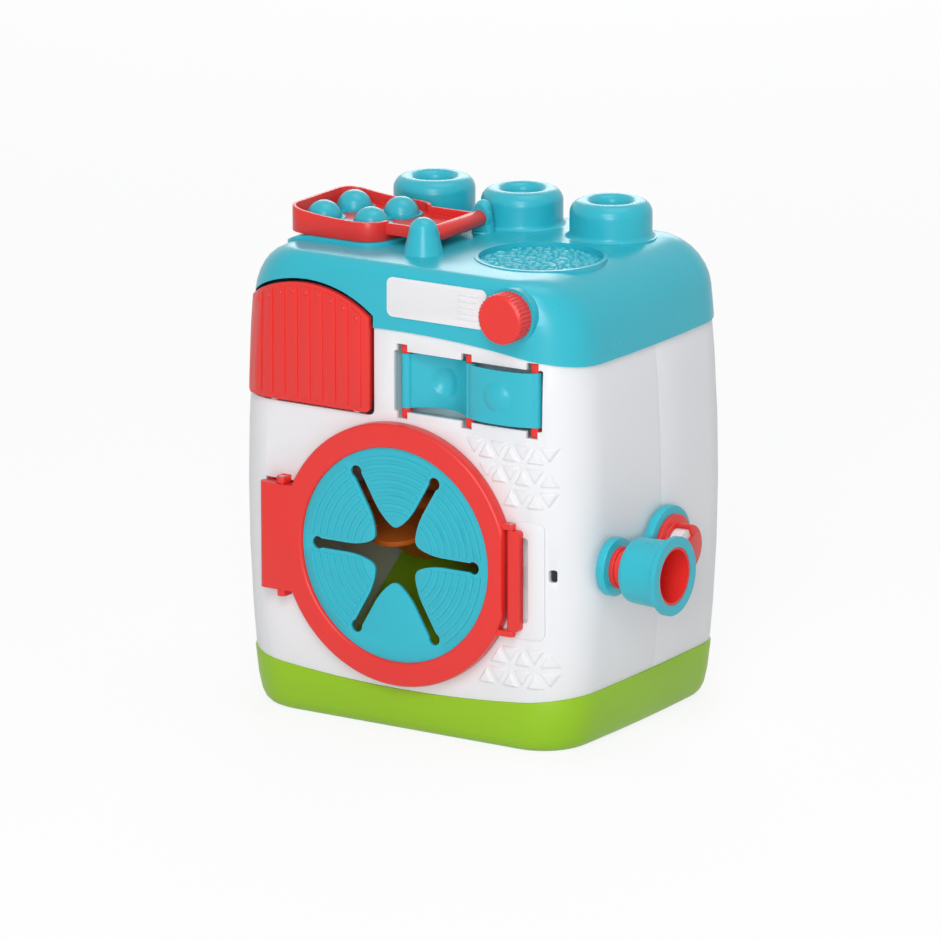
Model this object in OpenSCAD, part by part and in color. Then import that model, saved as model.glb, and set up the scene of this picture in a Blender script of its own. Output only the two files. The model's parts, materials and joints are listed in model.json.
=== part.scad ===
// Toy washing machine: a two-part housing on a green base, with a crank-driven
// tumbler behind a slit diaphragm door, a tilt-out drawer, a snap-through strip,
// a click dial and a hinged tray of push-through domes.
// Origin: middle of the underside. +X right, +Y back, +Z up. Millimetres.

/* [Housing] */
// Width at the widest level
body_w = 248; // [240:1:256]
// How far the sides draw in above and below the widest level
side_bow = 5.8; // [3:0.2:8]
// Height of the widest level
bow_z = 134; // [115:1:150]
// How far the middle of each side stands out past its front and back ends
side_crown = 3; // [0:0.5:4]
// Distance from the parting plane to the front face
front_depth = 94.2; // [92:0.2:98]
// Distance from the parting plane to the back face
back_depth = 92; // [90:0.5:98]
// Corner radius of the housing
corner_r = 33.5; // [30:0.5:36]
// Wall thickness of the housing
wall = 2.6; // [2:0.1:3.4]
// Height of the seam between base and housing, at the middle of the front
base_h = 26.4; // [23:0.2:28]
// Radius of the seam between base and housing, which rises towards the sides
base_seam_r = 790; // [700:10:1000]
// Height of the seam under the cap, at the middle of the front
seam_h = 245.5; // [244:0.1:248]
// Radius of the arched seam under the cap
seam_r = 636; // [560:4:800]
// Overhang of the cap over the housing
cap_lip = 1.2; // [0.6:0.1:2]
// Height of the deck
deck_h = 284.4; // [283:0.2:288]
// Shoulder radius at the sides and back of the deck
shoulder_r = 30; // [26:1:31]
// Shoulder radius at the front of the deck
brow_r = 8; // [6:0.5:10]

/* [Stacking studs] */
// Radius of one stud
stud_r = 24.8; // [22:0.2:26]
// Height of the studs above the deck
stud_h = 21.9; // [18:0.1:26]
// Distance between stud axes
stud_pitch = 62.5; // [60:0.5:66]
// Distance of the stud row behind the parting plane
stud_y = 41.9; // [41:0.1:44]
// Edge rounding of a stud
stud_edge_r = 8; // [3:0.5:8.5]
// Radius of the flat bottom of a stud's dimple
stud_dimple_r = 11; // [8:0.5:12]
// Depth of the dimple in a stud
stud_dimple_d = 4.5; // [2:0.5:6]

/* [Loading opening and dish] */
// Place of the loading opening, X
load_x = -70; // [-72:1:-68]
// Place of the loading opening, Y
load_y = -25; // [-27:1:-23]
// Radius of the loading opening
load_r = 28; // [23:1:30]
// Height of the raised seat under the tray
seat_h = 1.8; // [1:0.1:2.4]
// Place of the texture pad, X
pad_x = 57.6; // [56:0.2:59]
// Place of the texture pad, Y
pad_y = -29; // [-31:0.5:-28]
// Radius of the texture pad
pad_r = 37; // [32:1:38]
// Depth of the dish that holds the pad
pad_depth = 4; // [2.5:0.5:6]

/* [Pop tray] */
// Place of the tray hinge, X
tray_hinge_x = -6.5; // [-8:0.5:-5]
// Height of the tray hinge above the deck
tray_hinge_h = 9; // [8:0.5:11]
// Place of the front hinge post, Y
post_front_y = -57.5; // [-59:0.5:-56]
// Place of the rear hinge post, Y
post_rear_y = 8.5; // [7.5:0.5:9]
// Height of the front hinge post above the deck
post_h = 21.6; // [19:0.2:24]
// Height of the rear hinge post above the deck
rear_post_h = 19.6; // [18:0.2:22]
// Left end of the tray, X
tray_left = -103.5; // [-106:0.5:-102]
// Right end of the tray bowl, X
tray_right = -38; // [-40:0.5:-36]
// Front of the tray, Y
tray_front = -61; // [-63:0.5:-59]
// Back of the tray, Y
tray_back = 10; // [8.5:0.5:10.5]
// Height of the tray wall
tray_wall_h = 11.6; // [10:0.2:13]
// Extra wall height at the free end of the tray
tray_lip_h = 4; // [2:0.5:6]
// Tray wall and floor thickness
tray_t = 2.2; // [1.8:0.1:2.8]
// Radius of one dome
dome_r = 10.8; // [9:0.1:11.4]
// Height of one dome
dome_h = 10; // [7:0.5:10.5]
// Radius of the ring round a dome
dome_ring_r = 13; // [12.4:0.1:13.4]
// Distance between domes along X
dome_pitch_x = 33.5; // [32:0.5:35]
// Distance between domes along Y
dome_pitch_y = 33; // [32:0.5:34]
// How far a dome pushes in
dome_travel = 4; // [3:0.5:4]

/* [Dial and label] */
// Distance of the dial's axis from the right side of the housing
dial_in = 45.5; // [44.5:0.5:47.5]
// Height of the dial up the front face
dial_h = 265; // [264:0.2:266]
// Dial radius
dial_r = 15; // [12:0.1:15.4]
// Dial length
dial_l = 12.5; // [9:0.5:16]
// Number of grip ribs round the dial
dial_ribs = 36; // [24:2:40]
// Left end of the label plate, X
label_left = -7.2; // [-9:0.1:-5]
// Bottom of the label plate up the front face
label_low = 254; // [253:0.1:255]
// Height of the label plate
label_height = 24; // [20:0.5:24.5]
// Thickness of the label plate
label_t = 1.2; // [0.8:0.1:1.6]

/* [Drawer] */
// Left edge of the drawer front, X
drawer_left = -110; // [-112:0.5:-108]
// Right edge of the drawer front, X
drawer_right = -19.5; // [-22:0.5:-18]
// Bottom of the drawer front up the face
drawer_low = 193.5; // [193:0.1:196]
// Top of the arch of the drawer front up the face
drawer_top = 266.8; // [264:0.2:269]
// Radius of the arch
drawer_arch_r = 74; // [66:1:90]
// Gap round the drawer front
drawer_gap = 2; // [1.6:0.1:2.6]
// Number of ribs on the drawer front
drawer_ribs = 9; // [7:1:10]
// Radius of the drawer bin round its pivot
bin_r = 50; // [40:1:54]
// Angle of the drawer bin, degrees
bin_angle = 36; // [28:1:40]

/* [Snap-through strip] */
// Left end of the strip window, X
window_left = -3.7; // [-5:0.1:-2]
// Width of the strip window
window_w = 101.7; // [99:0.1:103]
// Bottom of the strip window up the face
window_low = 196.5; // [196:0.1:198]
// Height of the strip window
window_h = 37; // [35:0.5:38]
// Depth of the pan behind the window
pan_depth = 22; // [19:0.5:26]
// Sideways bulge of each half of the strip
strip_bulge = 8; // [6:0.5:9]
// Strip thickness
strip_t = 1.6; // [1:0.1:2]
// Strip height
strip_h = 33; // [29:0.5:34]
// Radius of the strip posts
post_rod_r = 2.2; // [1.8:0.1:2.4]

/* [Door] */
// Place of the door centre, X
door_x = 1.2; // [0:0.2:3]
// Height of the door centre up the face
door_h = 110.3; // [109:0.1:112]
// Outer radius of the door ring
door_r = 80; // [78:0.5:80.5]
// Inner radius of the door ring
door_eye_r = 65.2; // [61:0.2:66]
// Radius of the hole in the housing behind the door
door_hole_r = 68.5; // [66:0.5:70]
// Thickness of the door ring
door_t = 8; // [7:0.5:9]
// Gap between the door and the front face
door_gap = 1; // [0.6:0.1:1.4]
// Thickness of the diaphragm
skin_t = 1.8; // [1.2:0.1:2.4]
// Number of petals
petals = 6; // [5:1:8]
// Width of a slit
slit_w = 5.8; // [4.6:0.2:6.6]
// Distance from the door centre to the ends of the slits
slit_end = 56.2; // [50:0.2:58]
// Radius of the star hole at the petal tips
star_r = 17; // [14:0.5:20]
// Radius at which the slits start to widen
flare_r = 30; // [27:1:34]
// Door hinge axis, X
hinge_x = -80; // [-81:0.1:-79.5]
// How far the hinge tab runs past its axis
hinge_tab_past = 14.5; // [12:0.5:15]
// Height of the hinge tab
hinge_tab_h = 65; // [56:1:66]

/* [Latch] */
// Height of the middle of the latch
latch_h = 106.2; // [104:0.2:110]
// Left side of the latch bar, X
latch_x = 78.1; // [77.8:0.1:79]
// Width of the latch bar
latch_w = 9.2; // [8.6:0.1:10]
// Length of the latch bar
latch_l = 61; // [52:1:62]
// Thickness of the latch bar
latch_t = 5; // [4.2:0.1:6]
// Right edge of the keeper plate, X
keeper_right = 100.4; // [99:0.2:102]
// Height of the keeper plate
keeper_h = 71; // [68:0.5:73]
// Thickness of the keeper plate
keeper_t = 1.2; // [0.8:0.1:1.3]
// Width of the finger scoop
scoop_w = 7.3; // [6.5:0.1:7.6]
// Depth of the finger scoop
scoop_d = 7; // [6:0.5:9]

/* [Crank and tumbler] */
// Height of the crank axis
crank_z = 112.5; // [111:0.5:114]
// Length of the crank arm between the two axes
crank_arm = 59; // [54:0.5:62]
// Radius of the crank hub
hub_r = 23.8; // [20:0.2:26]
// Radius of the crank's handle end
lobe_r = 17.6; // [15.6:0.2:19]
// Thickness of the crank's back plate
crank_t = 6; // [4:0.5:8]
// Margin of the back plate round the red face plate
crank_margin = 5; // [4:0.5:6]
// Shaft radius
shaft_r = 5; // [4:0.1:6]
// Outer radius of the cup handle's rim
cup_rim_r = 23.6; // [22:0.1:25]
// Outer radius of the cup handle's body
cup_r = 19.5; // [18:0.1:20.5]
// Length of the cup handle
cup_l = 29.5; // [26:0.5:34]
// Tumbler radius to the paddle tips
tumbler_r = 59; // [50:0.5:60]
// Half length of the tumbler
tumbler_half = 86; // [78:1:87]
// Number of paddles
paddles = 3; // [3:1:5]
// Number of lobes along the edge of a paddle
paddle_lobes = 5; // [4:1:6]

/* [Drum chamber] */
// Inner half width of the drum chamber
chamber_half = 89; // [88.5:0.5:90]
// Height of the chamber walls
chamber_top = 180; // [172:1:184]
// Slope of the ramp, degrees
ramp_slope = 36.5; // [34:0.5:38]
// Height of the ramp below the crank axis at the parting plane
ramp_drop = 79.9; // [79:0.1:82]

/* [Hidden] */
$fn = 72;

teal = "#28B5C2";
red = "#E94742";
white = "#F0F0F0";
green = "#94C326";
orange = "#F07A28";

run_gap = 0.05;     // radial clearance of a shaft in its bore
slip = 0.3;         // gap between pieces that move past each other
corner_n = 8;       // steps in a housing corner
flat_n = 3;         // points between the corners of a side
big = 400;          // larger than the whole toy
wall_steps = 6;     // levels of the housing wall

// ---- housing outline -------------------------------------------------------
bow_span = 108;
half_h = body_w / 2;
dial_x = body_w / 2 - dial_in;
seam_low = seam_h - (seam_r - sqrt(seam_r * seam_r - half_h * half_h));
base_seam_high = base_h + base_seam_r - sqrt(base_seam_r * base_seam_r - half_h * half_h);
cap_low = seam_low - 4;
wall_low = base_h - 6;
wall_high = seam_h + 6;

function half_w(z) = body_w / 2 - side_bow * pow((z - bow_z) / bow_span, 2);
function mix(a, b, t) = a + (b - a) * t;

function corner(cx, cy, r, turn) =
  [for (i = [0:corner_n]) let (a = turn + 90 * i / corner_n) [cx + r * cos(a), cy + r * sin(a)]];

// One level of the housing, drawn in by side_in, front_in and back_in.
function ring(z, side_in, front_in, back_in) =
  let (w = half_w(z) - side_in,
       f = -front_depth + front_in,
       b = back_depth - back_in,
       rf = max(corner_r - (side_in + front_in) / 2, 4),
       rb = max(corner_r - (side_in + back_in) / 2, 4),
       mid = (f + b) / 2,
       span = (b - f) / 2,
       wf = w - side_crown * pow((f + rf - mid) / span, 2),
       wb = w - side_crown * pow((b - rb - mid) / span, 2),
       side = [for (k = [1:flat_n]) let (y = mix(f + rf, b - rb, k / (flat_n + 1)))
                [w - side_crown * pow((y - mid) / span, 2), y]],
       outline = concat(corner(wf - rf, f + rf, rf, -90), side, corner(wb - rb, b - rb, rb, 0),
                        corner(rb - wb, b - rb, rb, 90),
                        [for (k = [flat_n - 1:-1:0]) [-side[k][0], side[k][1]]],
                        corner(rf - wf, f + rf, rf, 180)))
  [for (p = outline) [p[0], p[1], z]];

// Closed body through a list of levels [z, side_in, front_in, back_in].
module loft(levels) {
  n = 4 * (corner_n + 1) + 2 * flat_n;
  last = len(levels) - 1;
  points = [for (l = levels) each ring(l[0], l[1], l[2], l[3])];
  sides = [for (k = [0:last - 1]) for (i = [0:n - 1])
    let (a = k * n + i, b = k * n + (i + 1) % n)
    each [[a, a + n, b + n], [a, b + n, b]]];
  polyhedron(points = points,
    faces = concat([[for (i = [0:n - 1]) i]], sides, [[for (i = [n - 1:-1:0]) last * n + i]]));
}

// Levels with one inset all round, from z0 to z1.
function even_levels(z0, z1, inset, steps) =
  [for (i = [0:steps]) [mix(z0, z1, i / steps), inset, inset, inset]];
// Levels of the housing wall, drawn in by inset.
function wall_levels(inset) = even_levels(wall_low, wall_high, inset, wall_steps);

// Levels of the deck shoulder, for a skin drawn in by inset.
function shoulder_in(z, top, r, inset) =
  let (rise = max(z - (top - r), 0)) inset + r - sqrt(max(r * r - rise * rise, 0));
function cap_levels(z0, top, inset) =
  let (start = top - shoulder_r, steps = 8,
       zs = concat([z0, mix(z0, start, 0.5)],
                   [for (i = [0:steps]) start + shoulder_r * sin(90 * i / steps)]))
  [for (z = zs) [z, shoulder_in(z, top, shoulder_r - 0.01, inset),
                 shoulder_in(z, top, brow_r - 0.01, inset),
                 shoulder_in(z, top, shoulder_r - 0.01, inset)]];

// Everything below the arched seam under the cap.
module below_seam() {
  translate([0, 0, seam_h - seam_r]) rotate([90, 0, 0])
    cylinder(r = seam_r, h = big, center = true, $fn = 360);
}
// Everything above the arched seam over the base.
module above_base(gap) {
  translate([0, 0, base_h + base_seam_r]) rotate([90, 0, 0])
    cylinder(r = base_seam_r + gap, h = big, center = true, $fn = 360);
}

module front_half() { translate([-big / 2, -big, -big / 2]) cube([big, big, 2 * big]); }
module back_half() { translate([-big / 2, 0, -big / 2]) cube([big, big, 2 * big]); }

// Front face frame: X across, Y up the face, Z outwards from it.
module on_face() { translate([0, -front_depth, 0]) rotate([90, 0, 0]) children(); }
module at_face(x, h, n) { on_face() translate([x, h, n]) children(); }

// Plate with round corners, lower left corner at the origin.
module round_rect(w, h, r) {
  translate([r, 0]) square([w - 2 * r, h]);
  translate([0, r]) square([w, h - 2 * r]);
  for (x = [r, w - r], y = [r, h - r]) translate([x, y]) circle(r = r);
}
module plate(w, h, r, t) { linear_extrude(height = t) round_rect(w, h, r); }

// Cylinder along X from x0 to x1.
module bar_x(x0, x1, r) { translate([x0, 0, 0]) rotate([0, 90, 0]) cylinder(r = r, h = x1 - x0); }
// Cylinder along Y from y0 to y1.
module bar_y(y0, y1, r) { translate([0, y1, 0]) rotate([90, 0, 0]) cylinder(r = r, h = y1 - y0); }

// ---- screws and bosses -----------------------------------------------------
screw_x = 99;
screw_low = 62;
screw_high = 168;
boss_r = 6;
pilot_r = 1.6;
screw_r = 1.5;
screw_head_r = 3.4;
screw_recess_r = 4;
seat_y = 34;        // depth of the screw seat behind the parting plane
screw_l = 52;

module at_screws() {
  for (x = [-screw_x, screw_x], z = [screw_low, screw_high]) translate([x, 0, z]) children();
}

// ---- crank bearings --------------------------------------------------------
bushing_r = 9;
bearing_boss_r = 13;
bearing_in = 106;
left_floor = 117;
crank_gap = 1;
crank_x = body_w / 2 + crank_gap;
face_t = 3;
hub_drum_r = 14;
hub_drum_l = 10;
hub_core_r = 10.8;
handle_gap = 0.4;
neck_r = 11;
neck_l = 5.4;
tumbler_turn = -140;
base_floor = 3;
chamber_back = 84;
pin_r = 5;
face_x = crank_x + crank_t;
neck_x = face_x + face_t;
cup_x = neck_x + neck_l + handle_gap;
cup_floor = 4.4;
retainer_t = 2;
retainer_x = cup_x + cup_floor + slip;
pin_end = retainer_x + retainer_t;
liner_x = pin_end + slip;

module at_crank() { translate([0, 0, crank_z]) children(); }
module at_handle() { translate([0, -crank_arm, crank_z]) children(); }

// ---- door geometry ---------------------------------------------------------
door_edge_x = latch_x - 1.4;            // straight side of the ring at the latch
hinge_n = door_gap + door_t / 2;        // hinge axis in front of the face
hinge_low = door_h - hinge_tab_h / 2;
hinge_high = door_h + hinge_tab_h / 2;
hinge_pin_r = 1.8;
ear_r = 3.2;
hinge_ear_l = 4;
swing_r = hinge_tab_past + 0.5;         // room the tab needs round the axis
slot_right = 8;                         // slot edge to the right of the axis
cradle_t = 1.8;
skin_n = door_gap + door_t - 2.4 - skin_t;   // back of the diaphragm
seat_r = door_eye_r + 5;                // recess in the ring that takes the diaphragm
petal_turn = -90;                     // direction of the lowest petal
ring_count = 8;
ring_pitch = 4.8;
plain_half = (door_eye_r + 10) * tan(180 / petals);

// ---- latch geometry --------------------------------------------------------
latch_n = keeper_t + slip;              // back of the latch bar
latch_axis_x = latch_x + 2.6;
latch_axis_n = latch_n + latch_t / 2;
latch_low = latch_h - latch_l / 2;
ear_t = 3.4;
latch_pin_r = 1.2;
keeper_left = latch_x + 1.2;
keeper_low = latch_h - keeper_h / 2;
catch_w = 1.6;
catch_l = 12;
catch_x = latch_x + 4.1;
catch_room = 1;                         // slot room round the catch
scoop_x = latch_x + latch_w - 4.3;      // the bar overhangs the scoop
scoop_l = 52;
scoop_wall = 1.6;

// ---- strip geometry --------------------------------------------------------
pan_wall = 1.8;
notch = 4.2;                            // how far the post notches pass the window edge
post_x = [window_left + 6, window_left + window_w / 2, window_left + window_w - 6];
post_n = -5.4;
strip_low = window_low + (window_h - strip_h) / 2;
pan_low = window_low - notch - 0.6;
pan_h = window_h + 2 * notch + 1.2;
sleeve_t = 1.2;
half_span = (post_x[1] - post_x[0]) / 2;
strip_r = (half_span * half_span + strip_bulge * strip_bulge) / (2 * strip_bulge);
pivot_r = 1.3;

// ---- drawer geometry -------------------------------------------------------
drawer_axis_h = drawer_low + 2.6;
drawer_axis_n = -1.5;
drawer_barrel_r = 2.6;
drawer_pin_r = 1.1;
drawer_w = drawer_right - drawer_left;
drawer_mid = (drawer_left + drawer_right) / 2;
bin_left = drawer_mid - 0.243 * drawer_w;
bin_right = drawer_mid + 0.3315 * drawer_w;
bin_t = 2;
ear_left = bin_left - 5.2;
ear_right = bin_right + 1.6;
ear_w = 3.6;
drawer_proud = 3;
ear_stem_t = 2.2;       // thickness of the stems that carry the ears
ear_stem_l = 8;         // how far they reach below the opening

module drawer_outline(grow) {
  intersection() {
    translate([drawer_left - grow, drawer_low - grow])
      round_rect(drawer_right - drawer_left + 2 * grow, 2 * drawer_arch_r, 3 + grow / 2);
    translate([drawer_mid, drawer_top - drawer_arch_r]) circle(r = drawer_arch_r + grow, $fn = 180);
  }
}
module drawer_cut(grow) {
  on_face() translate([0, 0, -50]) linear_extrude(height = 70) drawer_outline(grow);
}

// ---- tray geometry ---------------------------------------------------------
tray_z = deck_h + seat_h + 0.2;
tray_axis_z = deck_h + tray_hinge_h;
tray_floor_rise = 3.5;  // of the tray's floor over the foot of its wall
tray_floor_z = tray_z + tray_floor_rise;
dome_mid_x = (tray_left + tray_right) / 2 - 0.4;
dome_mid_y = (tray_front + tray_back) / 2 + 1.5;
barrel_r = 5;
ear_disc_r = 6.4;
tray_pin_r = 1.8;
mat_t = 1.2;
skirt_h = 0.2;
dome_t = 1.6;           // wall of a dome
post_r = 12.2;
rear_post_r = 7;
barrel_front = post_front_y + 8.6;
barrel_back = post_rear_y - 4.3;

function dome_at(i) = [dome_mid_x + (i % 2 - 0.5) * dome_pitch_x,
                       dome_mid_y + (floor(i / 2) - 0.5) * dome_pitch_y];

// ---- housing nodes ---------------------------------------------------------
module housing_skin() {
  intersection() {
    difference() {
      loft(wall_levels(0));
      loft(even_levels(wall_low - 1, wall_high + 1, wall, wall_steps));
    }
    below_seam();
    above_base(0);
  }
}

// What both shells carry inside: half bosses for the screws and the crank bushings.
module shell_bosses() {
  intersection() {
    union() {
      at_screws() bar_y(-big / 4, big / 4, boss_r);
      at_crank() bar_x(bearing_in, body_w / 2, bearing_boss_r);
      at_crank() bar_x(-body_w / 2, -bearing_in, bearing_boss_r);
    }
    loft(wall_levels(wall / 2));
  }
}
module bushing_seats() {
  at_crank() bar_x(bearing_in - 1, body_w, bushing_r);
  at_crank() bar_x(-left_floor, 1 - bearing_in, bushing_r);
}

module front_shell() {
  color(white) difference() {
    intersection() {
      union() {
        housing_skin();
        shell_bosses();
      }
      front_half();
    }
    at_screws() bar_y(-screw_l, 1, pilot_r);
    bushing_seats();
    at_face(door_x, door_h, -20) cylinder(r = door_hole_r, h = 40, $fn = 120);
    drawer_cut(drawer_gap);
    window_cut();
    latch_pocket_cut(0.05);
    at_face(keeper_right + 1.8, latch_h, -20) plate(4.6, 7.6, 1.6, 40);
    hinge_slot();
  }
  color(white) drawer_ears();
}

// Slot for the door's hinge tab, with two notches for the bracket's ears.
module hinge_slot() {
  at_face(hinge_x - swing_r, hinge_low - 1.2, -wall - 6)
    cube([swing_r + slot_right, hinge_tab_h + 2.4, wall + 9]);
  at_face(hinge_x - ear_r - 0.1, hinge_low - slip - hinge_ear_l - 0.1, -wall - 6)
    cube([2 * ear_r + 0.2, hinge_tab_h + 2 * (slip + hinge_ear_l) + 0.2, wall + 9]);
}

// Two ears below the drawer opening that carry the drawer pin.
module drawer_ears() {
  for (x = [ear_left, ear_right])
    at_face(x, 0, 0) difference() {
      union() {
        translate([0, drawer_axis_h, drawer_axis_n]) bar_x(0, ear_w, drawer_barrel_r);
        translate([0, drawer_low - ear_stem_l, drawer_axis_n - drawer_barrel_r])
          cube([ear_w, drawer_axis_h - drawer_low + ear_stem_l, ear_stem_t]);
      }
      translate([0, drawer_axis_h, drawer_axis_n]) bar_x(-1, ear_w + 1, drawer_pin_r + run_gap);
    }
}

module window_cut() {
  depth = wall + 6;                     // reaches the wall where it turns the corner
  at_face(window_left, window_low, -depth) plate(window_w, window_h, 1.2, depth + 4);
  for (x = post_x)
    at_face(x - 4, window_low - notch, -depth) cube([7.4, window_h + 2 * notch, depth + 4]);
}

module latch_pocket_cut(gap) {
  half = scoop_l / 2 + scoop_wall + gap;
  at_face(scoop_x - scoop_wall - gap, latch_h - half, -wall - 4)
    cube([scoop_w + 2 * scoop_wall + 2 * gap, 2 * half, wall + 8]);
  catch_slot(-wall - 4, wall + 8);
}
// Slot that the latch's catch enters, open to the scoop.
module catch_slot(n, depth) {
  at_face(catch_x - catch_room, latch_h - catch_l / 2 - catch_room, n)
    cube([scoop_x - catch_x + catch_room + 0.05, catch_l + 2 * catch_room, depth]);
}

module rear_shell() {
  color(white) difference() {
    intersection() {
      union() {
        housing_skin();
        shell_bosses();
      }
      back_half();
    }
    at_screws() bar_y(-1, big / 2, pilot_r);
    at_screws() bar_y(seat_y, big / 2, screw_recess_r);
    bushing_seats();
  }
}

module housing_screws() {
  color("silver") at_screws() {
    bar_y(seat_y - screw_l, seat_y, screw_r);
    bar_y(seat_y, seat_y + 2.4, screw_head_r);
  }
}

module base_tray() {
  rim_top = base_h + 13.5;              // the rim stands inside the housing wall
  lip = 0.8;                            // the base stands this far past the wall
  color(green) difference() {
    union() {
      difference() {
        loft([[0, 7, 7, 7], [1.2, 4.4, 4.4, 4.4], [3.6, 2.2, 2.2, 2.2], [8, 0.6, 0.6, 0.6],
              [base_h * 0.65, -lip / 2, -lip / 2, -lip / 2],
              [base_seam_high + 1, -lip, -lip, -lip]]);
        above_base(0.1);
      }
      loft(even_levels(base_h - 4, rim_top, wall + 0.35, 1));
    }
    loft([[base_floor, 8, 8, 8], [9, wall + 2.4, wall + 2.4, wall + 2.4],
          [rim_top + 1, wall + 2.4, wall + 2.4, wall + 2.4]]);
  }
}

// ---- top cap ---------------------------------------------------------------
module stud() {
  crest_r = stud_r - stud_edge_r;       // highest line of the stud
  lip_r = crest_r - stud_dimple_r;
  rotate_extrude($fn = 96) difference() {
    union() {
      translate([0, -3]) square([stud_r, stud_h + 3 - stud_edge_r]);
      translate([0, -3]) square([crest_r, stud_h + 3]);
      translate([crest_r, stud_h - stud_edge_r]) circle(r = stud_edge_r, $fn = 48);
      translate([0, -3]) square([stud_r + 3, 3.01]);
      difference() {
        translate([stud_r - 1, 0]) square([4, 3]);
        translate([stud_r + 3, 3]) circle(r = 3, $fn = 48);
      }
    }
    difference() {
      translate([0, stud_h - stud_dimple_d]) square([crest_r, stud_dimple_d + 1]);
      translate([crest_r, stud_h - lip_r]) circle(r = lip_r, $fn = 48);
    }
    translate([-2 * stud_r, -10]) square([2 * stud_r, 100]);
    translate([-1, -4]) square([stud_r - wall + 1, stud_h - 6]);
  }
}

module hinge_post(r, h) {
  top_r = r * 0.72;
  rotate_extrude($fn = 72) union() {
    polygon([[0, -2], [r, -2], [r, 0], [top_r, h - top_r], [0, h - top_r]]);
    intersection() {
      translate([0, h - top_r]) circle(r = top_r, $fn = 48);
      translate([0, h - top_r - 1]) square([top_r, top_r + 2]);
    }
  }
}

// Raised seat under the tray, which follows the shoulder.
module tray_seat() {
  intersection() {
    loft(cap_levels(cap_low, deck_h + seat_h, -cap_lip - seat_h));
    translate([0, 0, deck_h - shoulder_r]) linear_extrude(height = shoulder_r + seat_h + 1) tray_outline(-3);
  }
}

module top_cap() {
  color(teal) difference() {
    union() {
      difference() {
        union() {
          loft(cap_levels(cap_low, deck_h, -cap_lip));
          tray_seat();
        }
        loft(cap_levels(cap_low - 1, deck_h - wall, wall));
        below_seam();
      }
      cap_inner_lip();
      for (i = [-1:1]) translate([i * stud_pitch, stud_y, deck_h]) stud();
      translate([tray_hinge_x, post_front_y, deck_h]) hinge_post(post_r, post_h);
      translate([tray_hinge_x, post_rear_y, deck_h]) hinge_post(rear_post_r, rear_post_h);
      translate([tray_hinge_x, 0, tray_axis_z]) {
        bar_y(barrel_back + slip, post_rear_y, ear_disc_r);
        bar_y(post_front_y, barrel_front - slip, ear_disc_r);
      }
      translate([pad_x, pad_y, deck_h - pad_depth - wall]) cylinder(r = pad_r + 2.4, h = pad_depth + wall);
      translate([pad_x, pad_y, deck_h - 1]) cylinder(r = pad_r + 2.4, h = 1.6);
      at_face(dial_x, dial_h, -8) cylinder(r = dial_r + 1.6, h = 8 + cap_lip + 0.8);
    }
    for (i = [-1:1]) translate([i * stud_pitch, stud_y, deck_h - 8])
      cylinder(r = stud_r - wall, h = stud_h - 2);
    translate([load_x, load_y, deck_h - 12]) cylinder(r = load_r, h = 24);
    translate([pad_x, pad_y, deck_h - pad_depth]) cylinder(r = pad_r, h = 20);
    drawer_cut(drawer_gap);
    at_face(dial_x, dial_h, -20) cylinder(r = dial_shaft_r + run_gap, h = 40);
    tray_hinge_bore();
    translate([tray_hinge_x - 20, barrel_front - slip, deck_h + 1])
      cube([40, barrel_back - barrel_front + 2 * slip, 40]);
    at_face(label_left, label_low, cap_lip) label_shape(5, 0);
  }
}

// Band hanging from the cap inside the housing wall, on its sides and back.
module cap_inner_lip() {
  difference() {
    loft(even_levels(seam_low - 6, seam_h + 4, wall - 0.6, 1));
    loft(even_levels(seam_low - 7, seam_h + 5, wall + 2, 1));
    translate([-big / 2, -40 - big, 0]) cube([big, big, big]);
    intersection() {
      below_seam();
      difference() {
        loft(even_levels(seam_low - 8, seam_h + 6, 0, 1));
        loft(even_levels(seam_low - 9, seam_h + 7, wall + 0.3, 1));
      }
    }
  }
}

module tray_hinge_bore() {
  translate([tray_hinge_x, 0, tray_axis_z])
    bar_y(post_front_y - 4, post_rear_y + 3.5, tray_pin_r + run_gap);
}

module texture_pad() {
  color(teal) translate([pad_x, pad_y, deck_h - pad_depth]) {
    cylinder(r = pad_r - 0.1, h = 1.2);
    for (k = [1:3], i = [0:6 * k - 1])
      rotate([0, 0, 60 * i / k]) translate([k * pad_r * 0.29, 0, 0.6])
        cylinder(r1 = 4.2, r2 = 2.6, h = 1.8, $fn = 16);
    translate([0, 0, 0.6]) cylinder(r1 = 4.2, r2 = 2.6, h = 1.8, $fn = 16);
  }
}

// ---- dial and label --------------------------------------------------------
dial_shaft_r = 4;
dial_back = cap_lip + 0.8 + slip;
clip_n = -8.3;

module label_shape(t, shrink) {
  w = dial_x - dial_r - label_left - 1.5;
  difference() {
    translate([shrink, shrink, 0]) plate(w - 2 * shrink, label_height - 2 * shrink, 4, t);
    translate([dial_x - label_left, dial_h - label_low, -1]) cylinder(r = dial_r + 2.2 + shrink, h = t + 2);
  }
}

module label_plate() {
  color(white) {
    at_face(label_left, label_low, cap_lip) label_shape(label_t, 0.1);
    for (i = [0:4]) at_face(dial_x - 35.5, label_low + label_height * (0.2 + 0.15 * i), cap_lip + label_t)
      cube([11 + abs(i - 2), 0.9, 0.35]);
  }
}

module dial_knob() {
  steps = 6;
  color(red) at_face(dial_x, dial_h, 0) {
    intersection() {
      translate([0, 0, dial_back]) linear_extrude(height = dial_l)
        polygon([for (i = [0:dial_ribs * steps - 1])
          let (a = 360 * i / (dial_ribs * steps), r = dial_r - 0.35 * (1 - cos(a * dial_ribs)))
          [r * cos(a), r * sin(a)]]);
      translate([0, 0, dial_back]) {
        cylinder(r = dial_r + 1, h = dial_l - 1.6);
        translate([0, 0, dial_l - 1.6]) cylinder(r1 = dial_r + 0.2, r2 = dial_r - 2, h = 1.6);
      }
    }
    translate([0, 0, clip_n - 3]) cylinder(r = dial_shaft_r, h = dial_back - clip_n + 3.5);
  }
}

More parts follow.
